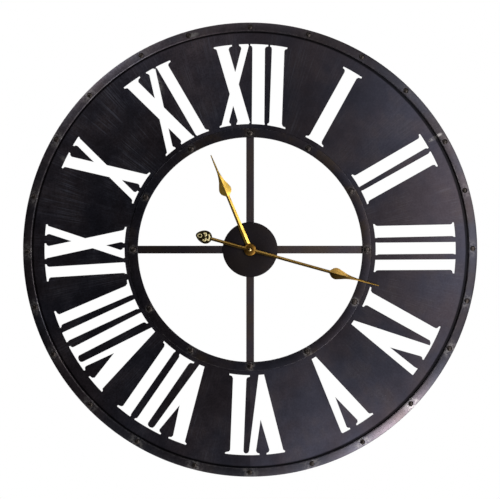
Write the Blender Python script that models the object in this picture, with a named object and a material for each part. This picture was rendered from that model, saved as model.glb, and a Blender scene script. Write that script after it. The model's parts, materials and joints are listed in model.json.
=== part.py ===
"""Wall clock: a riveted steel skeleton dial with pierced Roman numerals and folded brass hands.

Shapes are drawn in millimetres and scaled to metres when they become objects. X points right,
Z up, and the dial faces -Y, so larger Y is nearer the wall. The hands' arbor is the Y axis, and
angles are counted clockwise from twelve o'clock.
"""

import math

import bmesh
import bpy

MM = 0.001
GAP = 0.3                     # clearance between neighbouring solids

# Rings and plates
RIM_RADIUS = 400.0
RIM_WIDTH = 15.4
RIM_FLANGE = 4.5              # how thick the rim's front flange is
SKIRT = 3.0                   # wall thickness of the rim's skirt
DIAL_OUTER = RIM_RADIUS - SKIRT - 0.6
DIAL_INNER = 199.0
SHEET = 1.5
RING_INNER = 197.8
RING_OUTER = 214.2
RING_THICKNESS = 2.5
BAR_WIDTH = 13.7
BAR_THICKNESS = 3.0
BAR_REACH = 213.0
DISC_RADIUS = 48.6
DISC_THICKNESS = 2.0

# Depths, measured from the middle of the whole clock
HALF_DEPTH = 19.25
WALL = HALF_DEPTH
DIAL_FRONT = -6.75
DIAL_BACK = DIAL_FRONT + SHEET
RIM_BACK = DIAL_FRONT - GAP   # back of the flange
RIM_FRONT = RIM_BACK - RIM_FLANGE
RING_BACK = DIAL_FRONT - GAP
RING_FRONT = RING_BACK - RING_THICKNESS
BAR_FRONT = DIAL_BACK + GAP
BAR_BACK = BAR_FRONT + BAR_THICKNESS
DISC_BACK = BAR_FRONT - GAP
DISC_FRONT = DISC_BACK - DISC_THICKNESS

# Rivets
# The rivets are set by hand: how far each strays clockwise from its even share, in degrees
RIM_RIVET_DRIFTS = (0, 0.2, 0.1, -0.6, 1.0, -0.4, -0.3, -1.7, -3.6, -1.2, -0.3, -1.1,
                    0.1, -0.5, 0.5, 0.9, 2.0, 0, -0.5, -1.2, -0.4, -1.1, 0.7, -1.1)
RIM_RIVET_CIRCLE = 392.0
RIM_HEAD = (4.8, 1.9)         # radius and height of the domed head
RING_RIVET_DRIFTS = (0, 0, 0, 0, -3.4, 0.7, 0, 0.5, -0.5, 0, -3.4, -0.4)
RING_RIVET_CIRCLE = 205.6
RING_HEAD = (5.7, 2.2)
SHANK_RADIUS = 2.5
TAIL = (3.9, 1.2)             # radius and height of the closed end behind the sheet

# Numerals: their heads and feet lie on two circles, and strokes are placed across those circles
HEAD_CIRCLE = 362.5
FOOT_CIRCLE = 221.5
HEAD_STATION = 344.0
FOOT_STATION = 231.0
SERIF_EDGE = 2.6              # how thick a serif is at its tip
SERIF_DEPTH = 8.0             # where its bracket runs out into the stroke
UNDERLAP = 2.0                # how far short of the circles a stroke's own ends stop, inside its serif

# Hands
HOUR_ANGLE = 337.4
MINUTE_ANGLE = 105.6
SHEET_BRASS = 0.5
HOUR_BACK = -10.8
MINUTE_BACK = -13.5
BOSS_RADIUS = 11.0

# Movement
CASE_HALF = 28.0
CASE_WALL = 1.2
CASE_FRONT = BAR_BACK + 1.6
CASE_BACK = CASE_FRONT + 17.0
INSIDE = CASE_FRONT + CASE_WALL
BUSH_RADIUS = 4.0
BUSH_BORE = 2.8
BUSH_FRONT = -10.2
SHELF = -10.6                 # top face of the wall between the wheels and the battery
PIVOT = 0.5
PIVOT_HOLE = 0.8
BRIDGE_FRONT = 11.8
BRIDGE_BACK = 12.5
KNOB_STEM = 1.4

# Wheel train: teeth, module and the axes, laid out from the arbor
CANNON_TEETH = 12
WORK_WHEEL_TEETH = 36
WORK_PINION_TEETH = 10
HOUR_TEETH = 40
PINION_TEETH = 6
FIFTH_TEETH = 30
SECONDS_TEETH = 36
THIRD_TEETH = 45
CENTRE_TEETH = 48
CANNON_MODULE = 0.5
HOUR_MODULE = 0.48
TRAIN_MODULE = 1 / 3
CENTRE_MODULE = 0.413

STEEL = ("black_steel", (0.018, 0.017, 0.021), 0.42, 0.9)
RIVET_STEEL = ("rivet_steel", (0.035, 0.033, 0.036), 0.5, 0.9)
BRASS = ("brass", (0.72, 0.47, 0.13), 0.28, 1.0)
PLASTIC = ("black_plastic", (0.03, 0.03, 0.032), 0.5, 0.0)
WHITE_PLASTIC = ("white_plastic", (0.82, 0.82, 0.78), 0.45, 0.0)
RUBBER = ("rubber", (0.02, 0.02, 0.02), 0.85, 0.0)
COPPER = ("copper", (0.72, 0.25, 0.1), 0.35, 1.0)
BOARD = ("circuit_board", (0.05, 0.16, 0.07), 0.5, 0.0)
BRIGHT = ("bright_steel", (0.6, 0.6, 0.62), 0.3, 1.0)
BATTERY_SKIN = ("battery_skin", (0.08, 0.09, 0.12), 0.35, 0.2)


# --- Outlines in the X-Z plane ---------------------------------------------------------------

def circle(radius, count, at=(0.0, 0.0)):
    """A round outline, starting at twelve o'clock."""
    step = 2 * math.pi / count
    return [(at[0] + radius * math.sin(i * step), at[1] + radius * math.cos(i * step))
            for i in range(count)]


def rectangle(left, bottom, right, top):
    return [(left, bottom), (right, bottom), (right, top), (left, top)]


def polar(angle, radius):
    """The point at a clock angle in degrees and a radius."""
    return radius * math.sin(math.radians(angle)), radius * math.cos(math.radians(angle))


def turned_by(outline, angle):
    """An outline turned clockwise about the arbor by degrees."""
    s, c = math.sin(math.radians(angle)), math.cos(math.radians(angle))
    return [(x * c + z * s, z * c - x * s) for x, z in outline]


def gear_outline(teeth, module, phase):
    """Straight-sided teeth with backlash. phase is the angle of one tooth, from +X to +Z."""
    pitch = 2 * math.pi / teeth
    tip = module * (teeth / 2 + 0.75)
    root = module * (teeth / 2 - 1.1)
    corners = ((-0.24, root), (-0.1, tip), (0.1, tip), (0.24, root))
    outline = []
    for tooth in range(teeth):
        for share, radius in corners:
            angle = phase + (tooth + share) * pitch
            outline.append((radius * math.cos(angle), radius * math.sin(angle)))
    return outline


def meshed_phase(driver_teeth, driver_phase, teeth, direction):
    """The phase that puts a gap on the driver's tooth, along the line between the two centres."""
    return direction + math.pi - (driver_phase - direction) * driver_teeth / teeth + math.pi / teeth


# --- Solids ----------------------------------------------------------------------------------

def add_loop(bm, outline, depth):
    return [bm.verts.new((x, depth, z)) for x, z in outline]


def join_loops(bm, first, second):
    """Side faces between two loops of the same length."""
    for i in range(len(first)):
        k = (i + 1) % len(first)
        bm.faces.new((first[i], first[k], second[k], second[i]))


def fill(bm, *loops):
    """Flat faces inside the first loop and outside the others."""
    edges = []
    for loop in loops:
        for i in range(len(loop)):
            pair = (loop[i], loop[(i + 1) % len(loop)])
            edges.append(bm.edges.get(pair) or bm.edges.new(pair))
    bmesh.ops.triangle_fill(bm, use_beauty=True, edges=edges, normal=(0, 1, 0))


def stack(layers, bore=None):
    """One solid of coaxial layers, each (outline, front, back), from front to back.

    Where two layers meet, one outline lies strictly inside the other. A bore runs right through.
    """
    bm = bmesh.new()
    bore_loops = []
    previous = None
    for number, (outline, front, back) in enumerate(layers):
        near = add_loop(bm, outline, front)
        far = add_loop(bm, outline, back)
        join_loops(bm, near, far)
        if previous:
            fill(bm, previous, near)
        else:
            bore_loops.append(add_loop(bm, bore, front) if bore else None)
            fill(bm, near, *(loop for loop in bore_loops if loop))
        if number == len(layers) - 1:
            bore_loops.append(add_loop(bm, bore, back) if bore else None)
            fill(bm, far, *(loop for loop in bore_loops[1:] if loop))
        previous = far
    if bore:
        join_loops(bm, *bore_loops)
    return bm


def plate(outline, holes, front, back):
    """A flat plate with holes."""
    bm = bmesh.new()
    near = [add_loop(bm, loop, front) for loop in (outline, *holes)]
    fill(bm, *near)
    twin = {}
    for loop in near:
        for vert in loop:
            twin[vert] = bm.verts.new((vert.co.x, back, vert.co.z))
    for face in list(bm.faces):
        bm.faces.new([twin[vert] for vert in reversed(face.verts)])
    for loop in near:
        join_loops(bm, loop, [twin[vert] for vert in loop])
    return bm


def turned(profile, count):
    """A solid turned about the Y axis from a closed profile of (radius, depth) points."""
    bm = bmesh.new()
    rings = []
    for radius, depth in profile:
        if radius < 1e-6:
            rings.append([bm.verts.new((0, depth, 0))])
        else:
            rings.append(add_loop(bm, circle(radius, count), depth))
    for first, second in zip(rings, rings[1:] + rings[:1]):
        if len(first) == 1 and len(second) == 1:
            continue
        for i in range(count):
            k = (i + 1) % count
            corners = [first[i % len(first)], first[k % len(first)],
                       second[k % len(second)], second[i % len(second)]]
            bm.faces.new(list(dict.fromkeys(corners)))
    return bm


def block(low, high):
    bm = bmesh.new()
    bmesh.ops.create_cube(bm, size=1)
    for vert in bm.verts:
        vert.co = [low[i] + (vert.co[i] + 0.5) * (high[i] - low[i]) for i in range(3)]
    return bm


def rod(radius, start, end, axis, count, at=(0.0, 0.0, 0.0)):
    """A cylinder along X or Z, from start to end, with its axis through a point."""
    bm = bmesh.new()
    step = 2 * math.pi / count
    loops = []
    for place in (start, end):
        points = []
        for i in range(count):
            u = radius * math.cos(i * step)
            v = radius * math.sin(i * step)
            points.append((place, at[1] + u, at[2] + v) if axis == "X" else (at[0] + u, at[1] + v, place))
        loops.append([bm.verts.new(point) for point in points])
        bm.faces.new(loops[-1])
    join_loops(bm, *loops)
    return bm


def merged(*pieces):
    """Several solids in one mesh, for a cutter or a union."""
    whole = bmesh.new()
    for piece in pieces:
        mesh = bpy.data.meshes.new("piece")
        piece.to_mesh(mesh)
        piece.free()
        whole.from_mesh(mesh)
        bpy.data.meshes.remove(mesh)
    return whole


# --- Objects ---------------------------------------------------------------------------------

def material(look):
    name, colour, roughness, metallic = look
    found = bpy.data.materials.get(name)
    if found:
        return found
    made = bpy.data.materials.new(name)
    made.use_nodes = True
    shader = made.node_tree.nodes["Principled BSDF"]
    shader.inputs["Base Color"].default_value = (*colour, 1)
    shader.inputs["Roughness"].default_value = roughness
    shader.inputs["Metallic"].default_value = metallic
    made.diffuse_color = (*colour, 1)
    return made


def add(name, bm, look=None, at=(0.0, 0.0), turn=0.0):
    """Make an object whose origin is on the axis at (x, z), turned clockwise by degrees."""
    bmesh.ops.recalc_face_normals(bm, faces=bm.faces)
    bmesh.ops.scale(bm, vec=(MM, MM, MM), verts=bm.verts)
    mesh = bpy.data.meshes.new(name)
    bm.to_mesh(mesh)
    bm.free()
    made = bpy.data.objects.new(name, mesh)
    bpy.context.collection.objects.link(made)
    made.location = (at[0] * MM, 0, at[1] * MM)
    made.rotation_euler.y = math.radians(turn)
    if look:
        mesh.materials.append(material(look))
        mesh.shade_smooth()
        mesh.set_sharp_from_angle(angle=math.radians(30))
    return made


def combine(target, bm, operation, overlapping=False):
    """Cut a hidden tool out of an object, or join it on."""
    tool = add(f"{target.name}_{operation.lower()}_tool", bm)
    tool.parent = target
    tool.hide_render = True
    tool.display_type = "WIRE"
    modifier = target.modifiers.new(operation.title(), "BOOLEAN")
    modifier.operation = operation
    modifier.solver = "EXACT"
    modifier.use_self = overlapping
    modifier.object = tool


def drills(radius, places, front, back, count=8):
    """Round cutters along Y."""
    return [plate(circle(radius, count, place), [], front, back) for place in places]


# --- Frame -----------------------------------------------------------------------------------

def rivet_places(drifts, radius):
    """Places shared evenly round a circle, each then moved clockwise by its drift in degrees."""
    places = []
    for i, drift in enumerate(drifts):
        angle = math.radians(360 * i / len(drifts) + drift)
        places.append((radius * math.sin(angle), radius * math.cos(angle)))
    return places


def rivet(face, head, back, count=10):
    """A domed head on a face, a shank, and a closed tail behind the last sheet."""
    radius, height = head
    tail_radius, tail_height = TAIL
    base = face - GAP
    dome = [(radius * math.cos(math.radians(a)), base - 0.4 - (height - 0.4) * math.sin(math.radians(a)))
            for a in (0, 45)]
    profile = [(0, base - height), *reversed(dome), (radius, base), (SHANK_RADIUS, base),
               (SHANK_RADIUS, back + GAP), (tail_radius, back + GAP),
               (tail_radius, back + GAP + tail_height), (0, back + GAP + tail_height)]
    return turned(profile, count)


def build_rim():
    inner = RIM_RADIUS - RIM_WIDTH
    bevel = 0.8
    profile = [(inner, RIM_BACK), (inner, RIM_FRONT), (RIM_RADIUS - bevel, RIM_FRONT),
               (RIM_RADIUS, RIM_FRONT + bevel), (RIM_RADIUS, WALL),
               (RIM_RADIUS - SKIRT, WALL), (RIM_RADIUS - SKIRT, RIM_BACK)]
    rim = add("outer_rim", turned(profile, 96), STEEL)
    places = rivet_places(RIM_RIVET_DRIFTS, RIM_RIVET_CIRCLE)
    holes = drills(SHANK_RADIUS + 2 * GAP, places, RIM_FRONT - 1, RIM_BACK + 1)
    combine(rim, merged(*holes), "DIFFERENCE")
    for number, (x, z) in enumerate(places, 1):
        head = rivet(RIM_FRONT, RIM_HEAD, DIAL_BACK)
        add(f"rim_rivet_{number:02d}", head, RIVET_STEEL, at=(x, z))


def shifted(bm, place):
    bmesh.ops.translate(bm, verts=bm.verts, vec=(place[0], 0, place[1]))
    return bm


def build_ring():
    """The raised ring, with its rivets formed in one piece with it."""
    profile = [(RING_INNER, RING_BACK), (RING_INNER, RING_FRONT), (RING_OUTER, RING_FRONT),
               (RING_OUTER, RING_BACK)]
    ring = add("inner_ring", turned(profile, 72), STEEL)
    rivets = []
    for number, place in enumerate(rivet_places(RING_RIVET_DRIFTS, RING_RIVET_CIRCLE)):
        over_bar = number % 3 == 0
        last_sheet = BAR_BACK if over_bar else DIAL_BACK
        rivets.append(shifted(rivet(RING_FRONT + GAP + 0.2, RING_HEAD, last_sheet), place))
    combine(ring, merged(*rivets), "UNION")


def build_bars():
    """Two flat bars, halved together where they cross, with the bush's hole through both."""
    half = BAR_WIDTH / 2
    middle = (BAR_FRONT + BAR_BACK) / 2
    notch = half + GAP
    front_kept = [(-BAR_REACH, BAR_FRONT), (BAR_REACH, BAR_FRONT), (BAR_REACH, BAR_BACK),
                  (notch, BAR_BACK), (notch, middle - GAP / 2), (-notch, middle - GAP / 2),
                  (-notch, BAR_BACK), (-BAR_REACH, BAR_BACK)]
    back_kept = [(-BAR_REACH, BAR_FRONT), (-notch, BAR_FRONT), (-notch, middle + GAP / 2),
                 (notch, middle + GAP / 2), (notch, BAR_FRONT), (BAR_REACH, BAR_FRONT),
                 (BAR_REACH, BAR_BACK), (-BAR_REACH, BAR_BACK)]
    for name, outline, upright in (("horizontal_bar", front_kept, False), ("vertical_bar", back_kept, True)):
        bm = bmesh.new()
        loops = []
        for side in (-half, half):
            points = [(side, y, s) if upright else (s, y, side) for s, y in outline]
            loops.append([bm.verts.new(point) for point in points])
            bm.faces.new(loops[-1])
        join_loops(bm, *loops)
        bar = add(name, bm, STEEL)
        ends = [(0, s) if upright else (s, 0) for s in (-RING_RIVET_CIRCLE, RING_RIVET_CIRCLE)]
        holes = drills(SHANK_RADIUS + 2 * GAP, ends, BAR_FRONT - 1, BAR_BACK + 1)
        holes += drills(BUSH_RADIUS + GAP, [(0, 0)], BAR_FRONT - 1, BAR_BACK + 1, 20)
        combine(bar, merged(*holes), "DIFFERENCE")


def build_disc():
    bevel = 0.6
    profile = [(BUSH_RADIUS + GAP, DISC_BACK), (BUSH_RADIUS + GAP, DISC_FRONT),
               (DISC_RADIUS - bevel, DISC_FRONT), (DISC_RADIUS, DISC_FRONT + bevel),
               (DISC_RADIUS, DISC_BACK)]
    add("centre_disc", turned(profile, 48), STEEL)


def build_hanger():
    """An angle inside the rim at the top: one leg under the skirt, one by the wall with a keyhole."""
    half_width = 30.0
    top = math.sqrt((RIM_RADIUS - SKIRT) ** 2 - half_width ** 2) - 2 * GAP
    leg = 2.5
    low = top - 29.5
    back = WALL - 0.8
    front = DIAL_BACK + GAP + TAIL[1] + 0.6
    head_radius, neck = 5.5, 2.75
    head_height, neck_top = low + 9.0, low + 19.0
    side = [(front, top - leg), (front, top), (back, top), (back, low), (back - leg, low),
            (back - leg, top - leg)]
    bm = bmesh.new()
    loops = []
    for x in (-half_width, half_width):
        loops.append([bm.verts.new((x, y, z)) for y, z in side])
        bm.faces.new(loops[-1])
    join_loops(bm, *loops)
    hanger = add("wall_hanger", bm, STEEL)
    start = math.asin(neck / head_radius)
    keyhole = []
    for i in range(13):
        angle = start + (2 * math.pi - 2 * start) * i / 12
        keyhole.append((head_radius * math.sin(angle), head_height + head_radius * math.cos(angle)))
    for i in range(7):
        angle = math.pi - math.pi * i / 6
        keyhole.append((neck * math.cos(angle), neck_top + neck * math.sin(angle)))
    combine(hanger, plate(keyhole, [], back - leg - 1, back + 1), "DIFFERENCE")


# --- Dial and numerals -----------------------------------------------------------------------

def on_arc(x, radius):
    return math.sqrt(radius * radius - x * x)


def slanted(head_x, foot_x, height):
    """Where a line through both stations is, at a height."""
    return head_x + (foot_x - head_x) * (HEAD_STATION - height) / (HEAD_STATION - FOOT_STATION)


def serif(left, right, stroke_left, stroke_right, at_head):
    """A bracketed slab across a stroke's end, bounded by the head or foot circle."""
    radius, inward = (HEAD_CIRCLE, -1) if at_head else (FOOT_CIRCLE, 1)
    steps = 3
    across = [left + (right - left) * i / steps for i in range(steps + 1)]
    outline = [(x, on_arc(x, radius)) for x in across]
    for x, stroke in ((right, stroke_right), (left, stroke_left)):
        edge = on_arc(x, radius) + inward * SERIF_EDGE
        run_out = on_arc(stroke, radius) + inward * SERIF_DEPTH
        bend = (stroke + (x - stroke) * 0.3, edge + (run_out - edge) * 0.3)
        side = [(x, edge), bend, (stroke, run_out)]
        outline += side if x == right else reversed(side)
    return outline


def stroke(head, foot, width, head_serif, foot_serif):
    """Outlines of one straight stroke and its serifs. head and foot are its middle, from the axis."""
    half = width / 2
    high, low = HEAD_CIRCLE - UNDERLAP, FOOT_CIRCLE + UNDERLAP
    corners = []
    for side, radius in ((-half, high), (half, high), (half, low), (-half, low)):
        x = slanted(head + side, foot + side, radius)
        corners.append((x, on_arc(x, radius)))
    outlines = [corners]
    inner = half - GAP
    for span, radius, at_head in ((head_serif, HEAD_CIRCLE - SERIF_DEPTH, True),
                                  (foot_serif, FOOT_CIRCLE + SERIF_DEPTH, False)):
        middle = slanted(head, foot, radius)
        outlines.append(serif(*span, middle - inner, middle + inner, at_head))
    return outlines


def vee(thick, notch, thin, foot, thick_serif, thin_serif):
    """Outlines of a V. thick and thin give each limb's two edges at the head, foot the point's ends."""
    def edge(x, lower_x, lower, radius):
        """Where the edge through the head station and a lower point crosses a circle."""
        high = x + (lower_x - x) * (HEAD_STATION - radius) / (HEAD_STATION - lower)
        return high, on_arc(high, radius)

    sides = [(thick[0], foot[0], FOOT_CIRCLE), (thick[1], *notch), (thin[0], *notch),
             (thin[1], foot[1], FOOT_CIRCLE)]
    high = [edge(*side, HEAD_CIRCLE - UNDERLAP) for side in sides]
    point = [(x, on_arc(x, FOOT_CIRCLE)) for x in reversed(foot)]
    shape = [high[0], high[1], notch, high[2], high[3], *point]
    bracket = [edge(*side, HEAD_CIRCLE - SERIF_DEPTH)[0] for side in sides]
    return [shape, serif(*thick_serif, bracket[0] + GAP, bracket[1] - GAP, True),
            serif(*thin_serif, bracket[2] + GAP, bracket[3] - GAP, True)]


def numerals():
    """Each hour's outlines, upright at twelve o'clock, in the order I to XII."""
    return [
        stroke(0, 2, 24, (-18.5, 19), (-15, 20.5)),
        stroke(-10.5, -10, 21, (-27, 2), (-24.5, 0.5))
        + stroke(21, 19.5, 21, (9, 38), (8.5, 34)),
        stroke(-34, -31.5, 20.5, (-48, -22.5), (-45, -20.5))
        + stroke(-3, -2, 20.5, (-13.5, 8), (-12.5, 9.5))
        + stroke(26.5, 27, 18.5, (17, 42), (18, 39.5)),
        stroke(-31.5, -30, 23.5, (-50, -8), (-49, -12.5))
        + vee((-9, 15), (26, 300), (32.5, 45.5), (16.5, 24.5), (-10, 15.5), (34, 48)),
        vee((-34, -11), (0, 300), (7, 19.5), (-6, 2.5), (-43, -8), (5, 21)),
        vee((-55, -31), (-18.5, 300), (-12, 0.5), (-24.5, -15), (-61.5, -29), (-16.5, 8))
        + stroke(23, 18.5, 23.5, (7, 44), (0.5, 36.5)),
        vee((-66, -43), (-29.5, 300), (-22, -11), (-33.5, -24), (-74, -41), (-26, -3))
        + stroke(12.5, 3.5, 20.5, (-4, 27), (-14, 15.5))
        + stroke(45.5, 36, 19.5, (36, 65), (24.5, 51)),
        vee((-78, -54.5), (-38, 299), (-34, -24.5), (-41.5, -32), (-86, -52), (-38.5, -18))
        + stroke(-2.5, -8, 17.5, (-19, 11.5), (-22, 0))
        + stroke(28.5, 18.5, 17, (20, 38.5), (8, 26.5))
        + stroke(59, 45.5, 18, (48, 78), (35, 62)),
        stroke(-39, -32, 18.5, (-56, -26), (-42.5, -23))
        + stroke(-1.5, 23, 20.5, (-16.5, 11), (11.5, 40))
        + stroke(30.5, -6.5, 13, (25, 44.5), (-14.5, 3)),
        stroke(-22.5, 11.5, 20.5, (-41, -11), (-2, 29))
        + stroke(9.5, -20, 12.5, (3, 21), (-33, -9.5)),
        stroke(-30.5, 0.5, 21, (-50, -16), (-12, 14))
        + stroke(3, -33, 13, (-3, 12), (-45.5, -24.5))
        + stroke(27.5, 28, 19.5, (17, 44.5), (19, 42)),
        stroke(-45, -12.5, 20.5, (-64, -32), (-24, -2))
        + stroke(-12.5, -42.5, 12, (-19.5, -3), (-53.5, -34))
        + stroke(15, 14, 22, (0.5, 32), (3, 25.5))
        + stroke(49, 45, 22, (35.5, 65.5), (30.5, 62)),
    ]


def build_dial():
    """The pierced dial. Every outline of every numeral is cut right through it."""
    rim_holes = [circle(SHANK_RADIUS + 2 * GAP, 8, place) for place in rivet_places(RIM_RIVET_DRIFTS, RIM_RIVET_CIRCLE)]
    ring_holes = [circle(SHANK_RADIUS + 2 * GAP, 8, place) for place in rivet_places(RING_RIVET_DRIFTS, RING_RIVET_CIRCLE)]
    holes = [circle(DIAL_INNER, 72), *rim_holes, *ring_holes]
    dial = add("dial_plate", plate(circle(DIAL_OUTER, 96), holes, DIAL_FRONT, DIAL_BACK), STEEL)
    cutters = []
    for hour, outlines in enumerate(numerals(), 1):
        for outline in outlines:
            cutters.append(plate(turned_by(outline, hour * 30), [], DIAL_FRONT - 1, DIAL_BACK + 1))
    combine(dial, merged(*cutters), "DIFFERENCE", overlapping=True)


# --- Hands -----------------------------------------------------------------------------------

def folded_blade(stations, back):
    """Sheet folded along its middle, lofted through (distance, half width, ridge height) stations."""
    bm = bmesh.new()
    loops = []
    for distance, half, height in stations:
        ridge = back - height
        section = [(-half, back), (-half, back - SHEET_BRASS), (0, ridge), (half, back - SHEET_BRASS),
                   (half, back), (0, min(ridge + SHEET_BRASS, back - 0.1))]
        loops.append([bm.verts.new((x, y, distance)) for x, y in section])
    for first, second in zip(loops, loops[1:]):
        join_loops(bm, first, second)
    bm.faces.new(loops[0])
    bm.faces.new(loops[-1])
    return bm


def leaf(root, root_half, base, base_half, widest, widest_half, point, point_half, tip):
    """Stations of a spade-shaped hand: stem, leaf and needle point."""
    stations = [(root, root_half, 1.7), (base, base_half, 1.5)]
    rise = 3
    for i in range(1, rise + 1):
        share = i / rise
        swell = math.sin(share * math.pi / 2)
        stations.append((base + (widest - base) * share, base_half + (widest_half - base_half) * swell, 1.5 + 0.5 * share))
    run = 6
    for i in range(1, run + 1):
        share = i / run
        taper = (1 - share) ** 1.6
        stations.append((widest + (point - widest) * share, point_half + (widest_half - point_half) * taper, 2.0 - 0.9 * share))
    stations.append((tip, 0.35, 0.7))
    return stations


def build_hour_hand():
    boss = stack([(circle(8.5, 28), HOUR_BACK - 0.9, HOUR_BACK)])
    hand = add("hour_hand", boss, BRASS, turn=HOUR_ANGLE)
    blade = leaf(5.5, 4.3, 103, 3.3, 114.5, 10.4, 146, 1.6, 180)
    combine(hand, folded_blade(blade, HOUR_BACK), "UNION")
    hole = merged(*drills(BUSH_BORE, [(0, 0)], HOUR_BACK - 3, HOUR_BACK + 1, 16))
    combine(hand, hole, "DIFFERENCE")


def teardrop(near, far, half_width, count):
    """A drop that is round towards the hub and pointed outward, as an outline below the hub."""
    centre = near + half_width
    outline = []
    for i in range(count):
        angle = 2 * math.pi * i / count
        x = half_width * math.sin(angle)
        reach = math.cos(angle)
        if reach < 0:
            z = centre - (far - centre) * reach
            x *= 1 - 0.3 * reach * reach
        else:
            z = centre - half_width * reach
        outline.append((x, -z))
    return outline


def build_minute_hand():
    boss = turned([(0, MINUTE_BACK - 2.1), (5.5, MINUTE_BACK - 1.9), (9.5, MINUTE_BACK - 1.2),
                   (BOSS_RADIUS, MINUTE_BACK - 0.5), (BOSS_RADIUS, MINUTE_BACK), (0, MINUTE_BACK)], 32)
    hand = add("minute_hand", boss, BRASS, turn=MINUTE_ANGLE)
    blade = leaf(6, 2.8, 146, 2.6, 158, 9.9, 196, 1.3, 235)
    combine(hand, folded_blade(blade, MINUTE_BACK), "UNION")
    tail = folded_blade([(-73, 2.4, 1.3), (-6, 2.7, 1.6)], MINUTE_BACK)
    combine(hand, tail, "UNION")
    flat = MINUTE_BACK - 1.0
    drop = teardrop(70, 99, 11.5, 24)
    combine(hand, plate(drop, [], flat, MINUTE_BACK), "UNION")
    hole = merged(*drills(2.05, [(0, 0)], MINUTE_BACK - 3, MINUTE_BACK + 1, 16))
    combine(hand, hole, "DIFFERENCE")


def build_hand_nut():
    """A domed cap nut on the arbor's tip."""
    back = MINUTE_BACK - 2.4
    front = -HALF_DEPTH
    bore_end = back - 1.9
    profile = [(0, front), (2.0, front + 0.4), (3.0, front + 1.2), (3.4, front + 2.0), (3.4, back),
               (1.5, back), (1.5, bore_end), (0, bore_end)]
    add("hand_nut", turned(profile, 20), BRASS)


# --- Movement --------------------------------------------------------------------------------

def gear_layers(teeth, module, phase, front, back):
    return (gear_outline(teeth, module, phase), front, back)


def distance(first_teeth, second_teeth, module):
    return (first_teeth + second_teeth) * module / 2


def away(start, angle, reach):
    """A point at a reach from another, at an angle in degrees from +X towards +Z."""
    return (start[0] + reach * math.cos(math.radians(angle)), start[1] + reach * math.sin(math.radians(angle)))


# Directions from each axis to the next, in degrees from +X towards +Z
WORK_DIRECTION = 160.0
THIRD_DIRECTION = 20.0
SECONDS_DIRECTION = 110.0
FIFTH_DIRECTION = 170.0
ROTOR_DIRECTION = 150.0
ARBOR = (0.0, 0.0)
WORK_AXIS = away(ARBOR, WORK_DIRECTION, distance(CANNON_TEETH, WORK_WHEEL_TEETH, CANNON_MODULE))
THIRD_AXIS = away(ARBOR, THIRD_DIRECTION, distance(PINION_TEETH, CENTRE_TEETH, CENTRE_MODULE))
SECONDS_AXIS = away(THIRD_AXIS, SECONDS_DIRECTION, distance(PINION_TEETH, THIRD_TEETH, TRAIN_MODULE))
FIFTH_AXIS = away(SECONDS_AXIS, FIFTH_DIRECTION, distance(PINION_TEETH, SECONDS_TEETH, TRAIN_MODULE))
ROTOR_AXIS = away(FIFTH_AXIS, ROTOR_DIRECTION, distance(PINION_TEETH, FIFTH_TEETH, TRAIN_MODULE))

# Depths of the wheels' layers, front and back of each
HOUR_LAYER = (INSIDE + 0.4, INSIDE + 1.4)
CANNON_LAYER = (INSIDE + 1.8, INSIDE + 2.6)
CENTRE_LAYER = (INSIDE + 3.2, INSIDE + 4.0)
THIRD_LAYER = (INSIDE + 4.6, INSIDE + 5.3)
SECONDS_LAYER = (INSIDE + 5.9, INSIDE + 6.6)
FIFTH_LAYER = (INSIDE + 7.2, INSIDE + 7.9)
MAGNET_LAYER = (INSIDE + 8.4, INSIDE + 10.4)
STATOR_LAYER = (INSIDE + 8.9, INSIDE + 9.9)
PIVOT_FRONT = INSIDE - 0.4
PIVOT_SHOULDER = INSIDE + 0.4
PINION_BULGE = 0.15           # a pinion stands this far out of its wheel's layer at each side


def build_case():
    """An open-backed box with a bay for the wheels, a bay for the battery and the clamping bush."""
    inner = CASE_HALF - CASE_WALL
    bay_top = SHELF - CASE_WALL
    case = add("movement_case", block((-CASE_HALF, CASE_FRONT, -CASE_HALF),
                                      (CASE_HALF, CASE_BACK, CASE_HALF)), PLASTIC)
    wheels = block((-inner, INSIDE, SHELF), (inner, CASE_BACK + 1, inner))
    battery = block((-inner, INSIDE, -inner), (inner, CASE_BACK + 1, bay_top))
    combine(case, merged(wheels, battery), "DIFFERENCE")
    combine(case, stack([(circle(BUSH_RADIUS, 24), BUSH_FRONT, CASE_FRONT + 0.6)]), "UNION")
    holes = drills(BUSH_BORE, [ARBOR], BUSH_FRONT - 1, INSIDE + 1, 16)
    pivots = [WORK_AXIS, THIRD_AXIS, SECONDS_AXIS, FIFTH_AXIS, ROTOR_AXIS]
    holes += drills(PIVOT_HOLE, pivots, INSIDE - 0.8, INSIDE + 1, 10)
    combine(case, merged(*holes), "DIFFERENCE")
    edge = inner - GAP
    lid = rectangle(-edge, SHELF + GAP, edge, edge)
    knob_hole = circle(KNOB_STEM + 2 * GAP, 14, WORK_AXIS)
    add("movement_cover", plate(lid, [knob_hole], CASE_BACK - CASE_WALL, CASE_BACK), PLASTIC)


def build_clamp():
    """The brass nut in front of the disc and the rubber washer behind the bars."""
    bore = circle(BUSH_RADIUS + GAP, 20)
    nut_back = DISC_FRONT - GAP
    add("fixing_nut", stack([(circle(7.2, 6), nut_back - 2.2, nut_back)], bore), BRASS)
    add("rubber_washer", stack([(circle(10, 28), BAR_BACK + GAP, CASE_FRONT - GAP)], bore), RUBBER)


def build_battery():
    radius, body = 7.1, 24.7
    height = -CASE_HALF + CASE_WALL + 0.4 + radius
    depth = INSIDE + 0.4 + radius
    axis = (0, depth, height)
    cell = add("battery", rod(radius, -body, body, "X", 24, axis), BATTERY_SKIN)
    combine(cell, rod(2.7, body - 0.5, body + 1.0, "X", 12, axis), "UNION")
    inner = CASE_HALF - CASE_WALL
    for name, start, end in (("contact_positive", inner - 0.8, inner - GAP),
                             ("contact_negative", GAP - inner, 0.8 - inner)):
        add(name, block((start, depth - 4, height - 5), (end, depth + 5, height + 5)), BRIGHT)


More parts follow.
